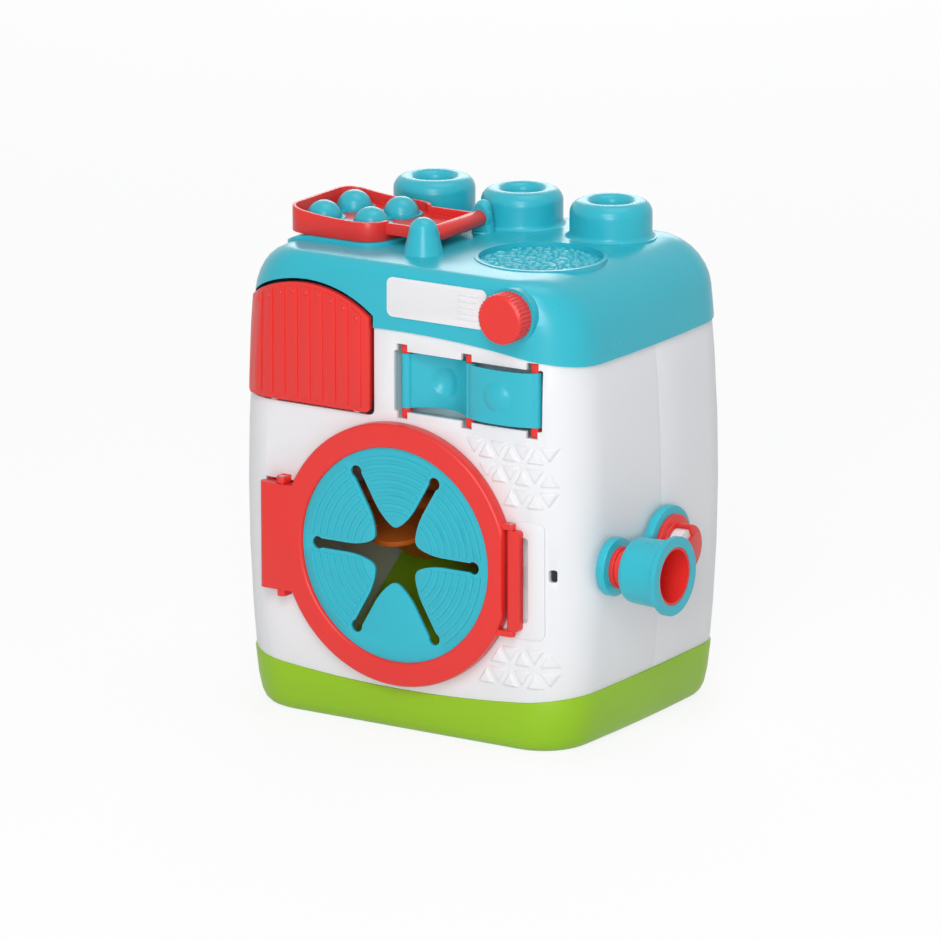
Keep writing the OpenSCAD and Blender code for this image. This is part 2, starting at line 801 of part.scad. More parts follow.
module dial_clip() {
  color(white) at_face(dial_x, dial_h, clip_n - 2.2) difference() {
    cylinder(r = dial_shaft_r + 4, h = 2);
    translate([0, 0, -1]) cylinder(r = dial_shaft_r, h = 4);
  }
}

// ---- drawer ----------------------------------------------------------------
module drawer_panel(outer, inner) {
  difference() {
    loft(even_levels(drawer_low - 14, drawer_top + 8, -outer, 4));
    loft(even_levels(drawer_low - 15, drawer_top + 9, -inner, 4));
  }
}

module drawer() {
  pitch = (drawer_right - drawer_left - 10) / drawer_ribs;
  color(red) difference() {
    union() {
      intersection() {
        union() {
          drawer_panel(drawer_proud, -0.4);
          intersection() {
            drawer_panel(drawer_proud + 0.6, drawer_proud - 1);
            on_face() for (i = [0:drawer_ribs - 1])
              translate([drawer_left + 6 + pitch * (i + 0.16), drawer_low + 3, -50]) cube([pitch * 0.68, 200, 70]);
            drawer_cut(-2.6);
          }
        }
        drawer_cut(0);
      }
      at_face(drawer_right - 4, drawer_low + 6, -8) cube([3, drawer_top - drawer_low - 26, 9]);
      at_face(0, drawer_axis_h, drawer_axis_n) {
        bar_x(ear_left + ear_w + slip, ear_right - slip, drawer_barrel_r);
        bin_shell();
      }
    }
    at_face(0, drawer_axis_h, drawer_axis_n) {
      bar_x(ear_left - 2, ear_right + 6, drawer_pin_r + run_gap);
      bar_x(ear_left - slip, ear_left + ear_w + slip, drawer_barrel_r + slip);
      bar_x(ear_right - slip, ear_right + ear_w + slip, drawer_barrel_r + slip);
      for (x = [ear_left - slip, ear_right - slip])
        translate([x, -8, -6]) cube([ear_w + 2 * slip, 8, 6 + drawer_barrel_r - 1]);
    }
  }
}

// Wedge-shaped bin behind the drawer front, round the pivot.
module bin_shell() {
  difference() {
    bin_wedge(bin_left, bin_right, bin_r, 0);
    bin_wedge(bin_left + bin_t, bin_right - bin_t, bin_r + 5, bin_t);
  }
}
module bin_wedge(x0, x1, r, inset) {
  intersection() {
    bar_x(x0, x1, r);
    translate([x0 - 1, drawer_barrel_r + inset, -2 * r]) cube([x1 - x0 + 2, 2 * r, 2 * r + drawer_barrel_r]);
    rotate([-bin_angle, 0, 0]) translate([x0 - 1, 0, inset - 1]) cube([x1 - x0 + 2, 2 * r, 2 * r]);
  }
}

module drawer_pin() {
  color("silver") at_face(0, drawer_axis_h, drawer_axis_n) bar_x(ear_left, ear_right + ear_w, drawer_pin_r);
}

// ---- snap-through strip ----------------------------------------------------
module strip_pan() {
  inner_d = pan_depth - pan_wall;
  color("#CDE5EA") difference() {
    intersection() {
      at_face(window_left - pan_wall - 1, pan_low - pan_wall, -wall - pan_depth)
        cube([window_w + 2 * pan_wall + 2, pan_h + 2 * pan_wall, pan_depth]);
      loft(wall_levels(wall + 0.05));
    }
    at_face(window_left - 1, pan_low, -wall - inner_d) cube([window_w + 2, pan_h, inner_d + 1]);
    for (x = post_x) at_face(x, pan_low - pan_wall - 1, post_n) rotate([-90, 0, 0])
      cylinder(r = pivot_r + run_gap, h = pan_h + 2 * pan_wall + 2);
  }
}

module strip_half(x, side) {
  mid_n = post_n + side * (strip_bulge - strip_r);
  intersection() {
    translate([x, mid_n]) difference() {
      circle(r = strip_r + strip_t / 2, $fn = 120);
      circle(r = strip_r - strip_t / 2, $fn = 120);
    }
    translate([x - half_span, side > 0 ? post_n - strip_t / 2 : post_n - strip_bulge - strip_t])
      square([2 * half_span, strip_bulge + 1.5 * strip_t]);
  }
}

module flex_strip() {
  sleeve_r = post_rod_r + run_gap + sleeve_t;
  color(teal) at_face(0, strip_low, 0) rotate([-90, 0, 0]) mirror([0, 1, 0]) linear_extrude(height = strip_h)
    difference() {
      union() {
        strip_half((post_x[0] + post_x[1]) / 2, -1);
        strip_half((post_x[1] + post_x[2]) / 2, 1);
        for (x = post_x) translate([x, post_n]) circle(r = sleeve_r, $fn = 48);
      }
      for (x = post_x) translate([x, post_n]) circle(r = post_rod_r + run_gap, $fn = 48);
    }
}

module strip_post(x) {
  tab_w = 5.4;
  tab_turn_r = 3.3;                     // what the corners of the tab are cut to
  tab_h = (window_h - strip_h) / 2 + notch - 0.4;
  color(red) at_face(x, 0, post_n) {
    translate([0, strip_low - 0.2, 0]) rotate([-90, 0, 0]) cylinder(r = post_rod_r, h = strip_h + 0.4);
    for (h = [strip_low - 0.2 - tab_h, strip_low + strip_h + 0.2])
      intersection() {
        translate([-tab_w / 2, h, -tab_w / 2]) cube([tab_w, tab_h, tab_w]);
        translate([0, h - 1, 0]) rotate([-90, 0, 0]) cylinder(r = tab_turn_r, h = tab_h + 2);
      }
    translate([0, pan_low - pan_wall, 0]) rotate([-90, 0, 0])
      cylinder(r = pivot_r, h = pan_h + 2 * pan_wall);
  }
}
module left_post() { strip_post(post_x[0]); }
module middle_post() { strip_post(post_x[1]); }
module right_post() { strip_post(post_x[2]); }

// ---- door ------------------------------------------------------------------
module door_profile() {
  edge = 2.4;
  difference() {
    union() {
      translate([door_eye_r, 0]) square([door_r - door_eye_r, door_t - edge]);
      translate([door_eye_r + edge, 0]) square([door_r - door_eye_r - 2 * edge, door_t]);
      for (r = [door_eye_r + edge, door_r - edge]) translate([r, door_t - edge]) circle(r = edge, $fn = 32);
    }
    translate([door_eye_r - 1, -1]) square([seat_r - door_eye_r + 1, skin_n + skin_t - door_gap + 1]);
  }
}

module door_ring() {
  edge = hinge_x - hinge_tab_past + door_t / 2;
  color(red) difference() {
    union() {
      at_face(door_x, door_h, door_gap) rotate_extrude($fn = 180) door_profile();
      at_face(edge, hinge_low, door_gap) cube([door_x - door_r - edge + 9, hinge_tab_h, door_t]);
      at_face(edge, hinge_low, hinge_n) rotate([-90, 0, 0]) cylinder(r = door_t / 2, h = hinge_tab_h);
      latch_ears();
    }
    at_face(door_x, door_h, door_gap - 1) cylinder(r = seat_r, h = skin_n + skin_t - door_gap + 1, $fn = 180);
    at_face(door_x, door_h, -1) cylinder(r = door_eye_r, h = 20, $fn = 180);
    at_face(door_edge_x, latch_low - ear_t - 1.4, -1) cube([30, latch_l + 2 * ear_t + 2.8, 20]);
    at_face(hinge_x, hinge_low - 1, hinge_n) rotate([-90, 0, 0])
      cylinder(r = hinge_pin_r + run_gap, h = hinge_tab_h + 2);
  }
  color(red) latch_ear_tips();
}

// Root blocks of the two ears, buried in the ring.
module latch_ears() {
  for (h = [latch_low - slip - ear_t, latch_low + latch_l + slip])
    at_face(door_edge_x - 14, h, door_gap + 0.6) cube([14, ear_t, latch_t]);
}
// The ears themselves, past the ring's straight side.
module latch_ear_tips() {
  for (h = [latch_low - slip - ear_t, latch_low + latch_l + slip])
    difference() {
      union() {
        at_face(door_edge_x - 1, h, latch_n) cube([latch_axis_x - door_edge_x + 1, ear_t, latch_t]);
        at_face(latch_axis_x, h, latch_axis_n) rotate([-90, 0, 0]) cylinder(r = latch_t / 2, h = ear_t);
      }
      at_face(latch_axis_x, h - 1, latch_axis_n) rotate([-90, 0, 0])
        cylinder(r = latch_pin_r + run_gap, h = ear_t + 2);
      at_face(door_x, door_h, -1) cylinder(r = seat_r, h = 20, $fn = 180);
    }
}

slit_stop = slit_end - 1.5;             // centre of the round end of a slit
// Half width of a petal at distance u from the door centre.
function petal_half(u) = u * tan(180 / petals) - slit_w / (2 * cos(180 / petals));
function turned(u, v, a) = [u * cos(a) - v * sin(a), u * sin(a) + v * cos(a)];
// Edge of the star hole round petal i, then out and back along the slit after it.
function petal_edge(i) =
  let (a = 360 * i / petals + petal_turn, b = a + 180 / petals)
  concat([for (k = [-6:6]) let (t = k / 6, u = star_r + (flare_r - star_r) * t * t)
            turned(u, petal_half(u) * sin(90 * t), a)],
         [turned(slit_stop, -slit_w / 2, b), turned(slit_stop, slit_w / 2, b)]);

module slits() {
  translate([0, 0, -1]) linear_extrude(height = skin_t + 3)
    polygon([for (i = [0:petals - 1]) each petal_edge(i)]);
  for (i = [0:petals - 1]) rotate([0, 0, 360 * (i + 0.5) / petals + petal_turn])
    translate([slit_stop, 0, -1]) cylinder(r = slit_w / 2 + 0.9, h = skin_t + 3, $fn = 48);
}

// Raised rings on the petals; the lowest petal stays plain.
module skin_rings() {
  difference() {
    for (k = [0:ring_count - 1]) let (r = door_eye_r - 5 - ring_pitch * k)
      translate([0, 0, skin_t - 0.2]) difference() {
        cylinder(r = r, h = 0.9, $fn = 120);
        translate([0, 0, -1]) cylinder(r = r - ring_pitch * 0.45, h = 3, $fn = 120);
      }
    for (i = [0:petals - 1]) rotate([0, 0, 360 * (i + 0.5) / petals + petal_turn])
      translate([0, -slit_w / 2 - 2.4, skin_t]) cube([door_eye_r, slit_w + 4.8, 3]);
    rotate([0, 0, petal_turn]) translate([0, 0, skin_t]) linear_extrude(height = 3)
      polygon([[0, 0], [door_eye_r + 10, -plain_half], [door_eye_r + 10, plain_half]]);
  }
}

module door_diaphragm() {
  color(teal) at_face(door_x, door_h, skin_n) difference() {
    union() {
      cylinder(r = seat_r - 0.1, h = skin_t, $fn = 180);
      skin_rings();
    }
    slits();
  }
}

module diaphragm_retainer() {
  t = skin_n - door_gap;
  color(red) at_face(door_x, door_h, door_gap) difference() {
    cylinder(r = seat_r - 0.1, h = t, $fn = 180);
    translate([0, 0, -1]) cylinder(r = door_eye_r - 0.5, h = t + 2, $fn = 180);
  }
}

module door_hinge_pin() {
  color("silver") at_face(hinge_x, hinge_low - slip - hinge_ear_l, hinge_n) rotate([-90, 0, 0])
    cylinder(r = hinge_pin_r, h = hinge_tab_h + 2 * (hinge_ear_l + slip));
}

// Trough behind the hinge slot whose two ears reach out and hold the pin.
module hinge_bracket() {
  left = hinge_x - swing_r - cradle_t;
  right = hinge_x + slot_right + cradle_t;
  low = hinge_low - slip - hinge_ear_l - 2;
  long = hinge_tab_h + 2 * (slip + hinge_ear_l + 2);
  depth = hinge_n - swing_r - cradle_t;
  color(red) difference() {
    union() {
      intersection() {
        at_face(left, low, depth) cube([right - left, long, -depth]);
        loft(wall_levels(wall + 0.05));
      }
      for (h = [hinge_low - slip - hinge_ear_l, hinge_high + slip]) {
        at_face(hinge_x, h, hinge_n) rotate([-90, 0, 0]) cylinder(r = ear_r, h = hinge_ear_l);
        at_face(hinge_x - ear_r, h, depth + 1) cube([2 * ear_r, hinge_ear_l, hinge_n - depth - 1]);
      }
    }
    at_face(hinge_x, hinge_low - slip, hinge_n) rotate([-90, 0, 0])
      cylinder(r = swing_r, h = hinge_tab_h + 2 * slip, $fn = 96);
    at_face(hinge_x, hinge_low - slip - hinge_ear_l - 1, hinge_n) rotate([-90, 0, 0])
      cylinder(r = hinge_pin_r + run_gap, h = hinge_tab_h + 2 * (slip + hinge_ear_l) + 2);
  }
}

// ---- latch -----------------------------------------------------------------
module latch_bar() {
  color(red) difference() {
    union() {
      at_face(latch_x + latch_t / 2, latch_low, latch_n) plate(latch_w - latch_t / 2, latch_l, 2.4, latch_t);
      at_face(latch_axis_x, latch_low, latch_axis_n) rotate([-90, 0, 0]) cylinder(r = latch_t / 2, h = latch_l);
      at_face(catch_x, latch_h - catch_l / 2, -wall) cube([catch_w, catch_l, wall + latch_n + 1]);
    }
    at_face(latch_axis_x, latch_low - 1, latch_axis_n) rotate([-90, 0, 0])
      cylinder(r = latch_pin_r + run_gap, h = latch_l + 2);
  }
}

module latch_pin() {
  color("silver") at_face(latch_axis_x, latch_low - slip - ear_t, latch_axis_n) rotate([-90, 0, 0])
    cylinder(r = latch_pin_r, h = latch_l + 2 * (slip + ear_t));
}

// Plate on the housing wall, which it follows round the corner, with the finger scoop.
module latch_keeper() {
  half = scoop_l / 2;
  color(white) difference() {
    union() {
      intersection() {
        at_face(keeper_left, keeper_low, -15) plate(keeper_right - keeper_left, keeper_h, 4.5, 30);
        difference() {
          loft(wall_levels(-keeper_t));
          loft(even_levels(wall_low - 1, wall_high + 1, -0.05, wall_steps));
        }
      }
      at_face(scoop_x - scoop_wall, latch_h - half - scoop_wall, -scoop_d - scoop_wall)
        cube([scoop_w + 2 * scoop_wall, 2 * (half + scoop_wall), scoop_d + scoop_wall + 0.3]);
    }
    at_face(scoop_x, latch_h - half, -scoop_d) plate(scoop_w, scoop_l, 2.5, scoop_d + 4);
    catch_slot(-wall - 4, 10);
    at_face(door_x, door_h, -1) cylinder(r = door_r + 0.4, h = 3, $fn = 180);
  }
}

// ---- crank -----------------------------------------------------------------
module crank_outline(shrink) {
  r_hub = hub_r - shrink;
  r_lobe = lobe_r - shrink;
  neck = r_lobe * 0.62;
  circle(r = r_hub, $fn = 96);
  translate([-crank_arm, 0]) circle(r = r_lobe, $fn = 96);
  translate([-crank_arm, -neck]) square([crank_arm, 2 * neck]);
}
// Crank profile drawn in the YZ plane, extruded along X from x0.
module crank_slab(x0, t, shrink) {
  at_crank() translate([x0, 0, 0]) rotate([90, 0, 90]) linear_extrude(height = t) crank_outline(shrink);
}

module crank_plate() {
  color(teal) difference() {
    crank_slab(crank_x, crank_t, 0);
    at_crank() bar_x(crank_x - 1, face_x + 1, shaft_r + run_gap);
  }
}

module crank_face() {
  color(red) difference() {
    union() {
      crank_slab(face_x, face_t, crank_margin);
      at_crank() bar_x(face_x, neck_x + hub_drum_l, hub_drum_r);
      at_handle() bar_x(face_x, neck_x + neck_l, neck_r);
      at_handle() bar_x(neck_x, pin_end, pin_r);
    }
    at_crank() bar_x(face_x - 1, neck_x + 1, shaft_r + run_gap);
    at_crank() bar_x(neck_x, neck_x + hub_drum_l - 2, hub_core_r + run_gap);
    at_crank() rotate([28, 0, 0]) translate([neck_x + 1, -6, 4]) cube([hub_drum_l - 1, 12, 20]);
  }
}

module crank_shaft() {
  color(white) at_crank() {
    bar_x(-left_floor + 1.5, neck_x + 0.5, shaft_r);
    bar_x(neck_x, neck_x + hub_drum_l - 2, hub_core_r);
  }
}

module bushing(x0, x1) {
  color(white) at_crank() difference() {
    bar_x(x0, x1, bushing_r);
    bar_x(x0 - 1, x1 + 1, shaft_r + run_gap);
  }
}
module right_bushing() { bushing(bearing_in, crank_x - slip); }
module left_bushing() { bushing(-left_floor, -bearing_in); }

module handle_retainer() {
  color("silver") at_handle() difference() {
    bar_x(retainer_x, retainer_x + retainer_t, pin_r + 3.5);
    bar_x(retainer_x - 1, pin_end + 1, pin_r);
  }
}

// Half profile of the cup: radius out, distance along the axis up.
module cup_profile(grow) {
  polygon(concat(
    [[0, -grow], [cup_r - 5, -grow]],
    [for (a = [-80:16:0]) [cup_r - 5 + (5 + grow) * cos(a), 5 + (5 + grow) * sin(a)]],
    [[cup_r + 0.8 + grow, cup_l - 8]],
    [for (a = [0:18:90]) [cup_r + 0.8 + grow + (cup_rim_r - cup_r - 0.8) * (1 - cos(a)),
                          cup_l - 8 + 5 * sin(a)]],
    [[cup_rim_r + grow, cup_l], [0, cup_l]]));
}

module cup_handle() {
  color(teal) at_handle() translate([cup_x, 0, 0]) rotate([0, 90, 0]) difference() {
    rotate_extrude($fn = 96) cup_profile(0);
    translate([0, 0, cup_floor]) cylinder(r = cup_r - 2, h = cup_l);
    translate([0, 0, -1]) cylinder(r = pin_r + run_gap, h = cup_floor + 2);
  }
}

module cup_liner() {
  depth = cup_x + cup_l - liner_x - 0.6;
  color(red) at_handle() translate([liner_x, 0, 0]) rotate([0, 90, 0]) difference() {
    cylinder(r = cup_r - 2, h = depth, $fn = 96);
    translate([0, 0, 1.6]) cylinder(r = cup_r - 3.6, h = depth, $fn = 96);
  }
}

// One paddle, X along the shaft, Y away from it, with a lobed outer edge.
module paddle_outline() {
  pitch = 2 * tumbler_half / paddle_lobes;
  lobe = pitch * 0.46;
  valley = tumbler_r - lobe - 4;
  steps = 16;
  polygon(concat([[-tumbler_half, 0]],
    [for (i = [0:paddle_lobes - 1]) let (x = -tumbler_half + pitch * (i + 0.5))
      each concat([[x - lobe, valley]],
                  [for (k = [0:steps]) let (a = 180 - 180 * k / steps)
                    [x + lobe * cos(a), tumbler_r - lobe + lobe * sin(a)]],
                  [[x + lobe, valley]])],
    [[tumbler_half, 0]]));
}

module tumbler() {
  hub = 9;
  t = 3.2;
  color(orange) at_crank() difference() {
    union() {
      bar_x(-tumbler_half, tumbler_half, hub);
      for (i = [0:paddles - 1]) rotate([360 * i / paddles + tumbler_turn, 0, 0])
        translate([0, t / 2, 0]) rotate([90, 0, 0]) linear_extrude(height = t) paddle_outline();
    }
    bar_x(-tumbler_half - 1, tumbler_half + 1, shaft_r + run_gap);
  }
}

// ---- drum chamber ----------------------------------------------------------
module chamber_walls() {
  t = 2;
  h = chamber_top - base_floor;
  color(white) difference() {
    intersection() {
      union() {
        for (x = [-chamber_half - t, chamber_half]) translate([x, -big / 2, base_floor]) cube([t, big, h]);
        translate([-chamber_half - 1, chamber_back, base_floor]) cube([2 * chamber_half + 2, t, h]);
      }
      loft([[0, 10, 20, 12], [10, wall + 3, 17, wall + 3], [bow_z, wall + 1, 17, wall + 1],
            [chamber_top + 5, wall + 1, 17, wall + 1]]);
      translate([-big / 2, -big, 0]) cube([big, big + chamber_back + t, big]);
    }
    at_crank() bar_x(-big / 2, big / 2, shaft_r + 1);
  }
}

module ball_ramp() {
  t = 3;
  web = 3;
  c = cos(ramp_slope);
  function ramp_z(y) = crank_z - ramp_drop + y * tan(ramp_slope);
  low_y = (base_floor + t / c - ramp_z(0)) / tan(ramp_slope);
  back = chamber_back - 0.3;
  color(green) {
    rotate([90, 0, 90]) translate([0, 0, -chamber_half + 0.3]) linear_extrude(height = 2 * chamber_half - 0.6)
      polygon([[low_y - t / c / tan(ramp_slope), base_floor], [low_y, base_floor],
               [back, ramp_z(back) - t / c], [back, ramp_z(back)]]);
    for (x = [-chamber_half + 0.3, -web / 2, chamber_half - 0.3 - web])
      rotate([90, 0, 90]) translate([0, 0, x]) linear_extrude(height = web)
        polygon([[low_y - 1, base_floor], [back, base_floor], [back, ramp_z(back) - 1]]);
  }
}

// ---- pop tray --------------------------------------------------------------
module tray_outline(shrink) {
  translate([tray_left + shrink, tray_front + shrink])
    round_rect(tray_right - tray_left - 2 * shrink, tray_back - tray_front - 2 * shrink, 14 - shrink);
}

// What comes off the wall, whose top edge falls from the free end towards the hinge.
module tray_descent() {
  steps = 10;
  x0 = tray_left + 4;
  x1 = tray_right - 18;
  translate([0, tray_back + 10, 0]) rotate([90, 0, 0]) linear_extrude(height = 200)
    polygon(concat([for (k = [0:steps]) let (t = k / steps)
                      [mix(x0, x1, t), tray_wall_h + tray_lip_h * (1 - t) * (1 - t)]],
                   [[0, tray_wall_h], [0, 60], [x0, 60]]));
}

module popper_tray() {
  arm_y0 = barrel_front;
  arm_y1 = barrel_back;
  arm_l = tray_hinge_x - tray_right + tray_t;
  color(red) difference() {
    union() {
      translate([0, 0, tray_z]) difference() {
        linear_extrude(height = tray_wall_h + tray_lip_h) tray_outline(0);
        translate([0, 0, tray_floor_rise + tray_t])
          linear_extrude(height = 40) tray_outline(tray_t);
        translate([0, 0, -1]) linear_extrude(height = tray_floor_rise + 1) tray_outline(tray_t);
        tray_descent();
        translate([tray_right - 6, arm_y0 + tray_t, tray_floor_rise + tray_t])
          cube([10, arm_y1 - arm_y0 - 2 * tray_t, 40]);
      }
      translate([tray_right - tray_t, arm_y0, tray_floor_z]) cube([arm_l, arm_y1 - arm_y0, tray_t]);
      for (y = [arm_y0, arm_y1 - tray_t])
        translate([tray_right - tray_t, y, tray_floor_z]) cube([arm_l, tray_t, barrel_r + 2]);
      translate([tray_hinge_x, 0, tray_axis_z]) bar_y(arm_y0, arm_y1, barrel_r);
    }
    translate([tray_hinge_x, 0, tray_axis_z]) bar_y(arm_y0 - 1, arm_y1 + 1, tray_pin_r + run_gap);
    for (i = [0:3]) translate([dome_at(i)[0], dome_at(i)[1], tray_z - 1]) cylinder(r = dome_r + 0.4, h = 20);
  }
}

module popper_mat() {
  color(teal) translate([0, 0, tray_floor_z + tray_t]) difference() {
    union() {
      for (i = [0:3]) translate(dome_at(i)) cylinder(r = dome_ring_r, h = mat_t);
      for (i = [0, 2]) translate([dome_mid_x - 5, dome_at(i)[1] - 3, 0]) cube([10, 6, mat_t - 0.4]);
      for (i = [0, 1]) translate([dome_at(i)[0] - 3, dome_mid_y - 4, 0]) cube([6, 8, mat_t - 0.4]);
    }
    for (i = [0:3]) translate([dome_at(i)[0], dome_at(i)[1], -1]) cylinder(r = dome_r + slip / 2, h = 20);
  }
}

module pop_dome(i) {
  cap_r = (dome_r * dome_r + dome_h * dome_h) / (2 * dome_h);
  color(teal) translate([dome_at(i)[0], dome_at(i)[1], tray_floor_z + tray_t + mat_t]) rotate_extrude($fn = 72)
    difference() {
      union() {
        intersection() {
          translate([0, dome_h - cap_r]) circle(r = cap_r, $fn = 96);
          square([dome_r, dome_h + 1]);
        }
        translate([0, -skirt_h]) square([dome_r, skirt_h + 0.01]);
      }
      translate([0, dome_h - cap_r]) circle(r = cap_r - dome_t, $fn = 96);
      translate([0, -skirt_h - 1]) square([dome_r - dome_t, skirt_h + 1.8]);
    }
}
module pop_dome_1() { pop_dome(0); }
module pop_dome_2() { pop_dome(1); }
module pop_dome_3() { pop_dome(2); }
module pop_dome_4() { pop_dome(3); }

module tray_pin() {
  color("silver") translate([tray_hinge_x, 0, tray_axis_z])
    bar_y(post_front_y - 4, post_rear_y + 3.5, tray_pin_r);
}

base_tray();
front_shell();
rear_shell();
top_cap();
housing_screws();
chamber_walls();
ball_ramp();
tumbler();
crank_shaft();
right_bushing();
left_bushing();
crank_plate();
crank_face();
handle_retainer();
cup_handle();
cup_liner();
hinge_bracket();
door_hinge_pin();
door_ring();
door_diaphragm();
diaphragm_retainer();
latch_pin();
latch_bar();
latch_keeper();
strip_pan();
flex_strip();
left_post();
middle_post();
right_post();
drawer();
drawer_pin();
label_plate();
dial_knob();
dial_clip();
texture_pad();
popper_tray();
popper_mat();
pop_dome_1();
pop_dome_2();
pop_dome_3();
pop_dome_4();
tray_pin();
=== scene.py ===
"""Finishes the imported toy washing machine: moulded plastics, soft edges, relief and fine trim."""

import json
import math
import random

import bmesh
import bpy
from mathutils import Matrix, Vector
from mathutils.bvhtree import BVHTree


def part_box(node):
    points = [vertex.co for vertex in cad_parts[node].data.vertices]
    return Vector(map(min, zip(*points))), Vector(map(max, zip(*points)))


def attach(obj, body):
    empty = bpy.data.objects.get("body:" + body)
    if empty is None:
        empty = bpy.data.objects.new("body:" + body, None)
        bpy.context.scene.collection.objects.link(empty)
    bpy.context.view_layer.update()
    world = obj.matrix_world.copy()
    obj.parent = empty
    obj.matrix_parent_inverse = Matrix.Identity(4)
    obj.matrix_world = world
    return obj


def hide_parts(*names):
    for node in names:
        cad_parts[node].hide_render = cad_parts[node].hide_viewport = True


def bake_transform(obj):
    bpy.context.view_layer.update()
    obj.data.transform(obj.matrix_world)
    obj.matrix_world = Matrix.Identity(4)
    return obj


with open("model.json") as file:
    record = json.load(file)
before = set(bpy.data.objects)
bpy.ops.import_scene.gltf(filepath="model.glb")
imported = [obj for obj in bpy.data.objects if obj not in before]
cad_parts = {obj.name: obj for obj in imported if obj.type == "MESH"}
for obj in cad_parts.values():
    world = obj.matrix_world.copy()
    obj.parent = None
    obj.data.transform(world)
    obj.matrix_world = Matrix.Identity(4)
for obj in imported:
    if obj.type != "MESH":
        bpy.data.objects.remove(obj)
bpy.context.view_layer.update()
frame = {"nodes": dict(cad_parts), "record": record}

MM = 0.001                # the toy's lengths are in millimetres, the studio's in metres

# ---- camera and studio -----------------------------------------------------
VIEW_POINT = (2.60761, -4.11809, 1.41659)
VIEW_TURN = math.radians(32.446)
VIEW_TILT = math.radians(90 - 14.676)
LENS = 321.45
SENSOR = 36.0
LAMP_AIM = Vector((0, 0, 0.15))
ROOM_COLOUR = (0.96, 0.98, 1.0, 1)
ROOM_STRENGTH = 0.335
WHITE = (1, 1, 1, 1)
FLOOR_SIZE = 14.0
FLOOR_COLOUR = (0.86, 0.86, 0.87, 1)
FLOOR_GLOW = 1.04         # strength of the white that is seen directly
FLOOR_GLOW_SHARE = 0.82   # share of that white; the rest is matt and keeps the shadow


def add_camera():
    data = bpy.data.cameras.new("camera")
    data.sensor_fit = "HORIZONTAL"
    data.sensor_width = SENSOR
    data.lens = LENS
    data.clip_start = 0.05
    data.clip_end = 40
    camera = bpy.data.objects.new("camera", data)
    camera.location = VIEW_POINT
    camera.rotation_euler = (VIEW_TILT, 0, VIEW_TURN)
    bpy.context.scene.collection.objects.link(camera)
    bpy.context.scene.camera = camera


def softbox(name, place, size, power):
    """Square white area lamp that looks at the toy."""
    data = bpy.data.lights.new(name, "AREA")
    data.shape = "SQUARE"
    data.size = size
    data.energy = power
    lamp = bpy.data.objects.new(name, data)
    lamp.location = place
    lamp.rotation_euler = (LAMP_AIM - Vector(place)).to_track_quat("-Z", "Y").to_euler()
    bpy.context.scene.collection.objects.link(lamp)


def emptied_tree(owner):
    """Nodes and links of a world or a material, with nothing in them."""
    owner.use_nodes = True
    owner.node_tree.nodes.clear()
    return owner.node_tree.nodes, owner.node_tree.links


def seen_directly(nodes, links):
    """1 where the camera, a reflection or a clear piece looks straight at the surface."""
    path = nodes.new("ShaderNodeLightPath")
    rays = [path.outputs[name] for name in ("Is Camera Ray", "Is Glossy Ray", "Is Transmission Ray")]
    seen = rays[0]
    for ray in rays[1:]:
        either = nodes.new("ShaderNodeMath")
        either.operation = "MAXIMUM"
        links.new(seen, either.inputs[0])
        links.new(ray, either.inputs[1])
        seen = either.outputs[0]
    return seen


def plain_background(nodes, colour, strength):
    background = nodes.new("ShaderNodeBackground")
    background.inputs["Color"].default_value = colour
    background.inputs["Strength"].default_value = strength
    return background


def light_room():
    """World that lights the toy softly and shows white."""
    world = bpy.data.worlds.new("studio")
    bpy.context.scene.world = world
    nodes, links = emptied_tree(world)
    room = plain_background(nodes, ROOM_COLOUR, ROOM_STRENGTH)
    shown = plain_background(nodes, WHITE, 1.0)
    mix = nodes.new("ShaderNodeMixShader")
    out = nodes.new("ShaderNodeOutputWorld")
    links.new(seen_directly(nodes, links), mix.inputs[0])
    links.new(room.outputs[0], mix.inputs[1])
    links.new(shown.outputs[0], mix.inputs[2])
    links.new(mix.outputs[0], out.inputs[0])


def pale_floor():
    """Material that shows white and keeps a faint shadow."""
    material = bpy.data.materials.new("pale_floor")
    nodes, links = emptied_tree(material)
    matt = nodes.new("ShaderNodeBsdfDiffuse")
    matt.inputs["Color"].default_value = FLOOR_COLOUR
    glow = nodes.new("ShaderNodeEmission")
    glow.inputs["Color"].default_value = WHITE
    glow.inputs["Strength"].default_value = FLOOR_GLOW
    share = nodes.new("ShaderNodeMath")
    share.operation = "MULTIPLY"
    share.inputs[1].default_value = FLOOR_GLOW_SHARE
    mix = nodes.new("ShaderNodeMixShader")
    out = nodes.new("ShaderNodeOutputMaterial")
    links.new(seen_directly(nodes, links), share.inputs[0])
    links.new(share.outputs[0], mix.inputs[0])
    links.new(matt.outputs[0], mix.inputs[1])
    links.new(glow.outputs[0], mix.inputs[2])
    links.new(mix.outputs[0], out.inputs[0])
    return material


def lay_floor():
    mesh = bpy.data.meshes.new("floor")
    shape = bmesh.new()
    bmesh.ops.create_grid(shape, x_segments=1, y_segments=1, size=FLOOR_SIZE / 2)
    shape.to_mesh(mesh)
    shape.free()
    mesh.materials.append(pale_floor())
    floor = bpy.data.objects.new("floor", mesh)
    bpy.context.scene.collection.objects.link(floor)


# ---- finishes --------------------------------------------------------------
PIGMENT_SCALE = 14        # slow drift of the colour
HAZE_SCALE = 55           # flow marks in the gloss
GRAIN_SCALE = 2600        # fine texture of the mould
GRAIN_STRENGTH = 0.015
GRAIN_DEPTH = 0.12
SCRATCH_SCALE = 900


def srgb(code):
    """Linear colour of a web colour code."""
    parts = [int(code[i:i + 2], 16) / 255 for i in (1, 3, 5)]
    return [((c + 0.055) / 1.055) ** 2.4 if c > 0.04045 else c / 12.92 for c in parts] + [1.0]


def shade(colour, factor):
    return [min(c * factor, 1.0) for c in colour[:3]] + [1.0]


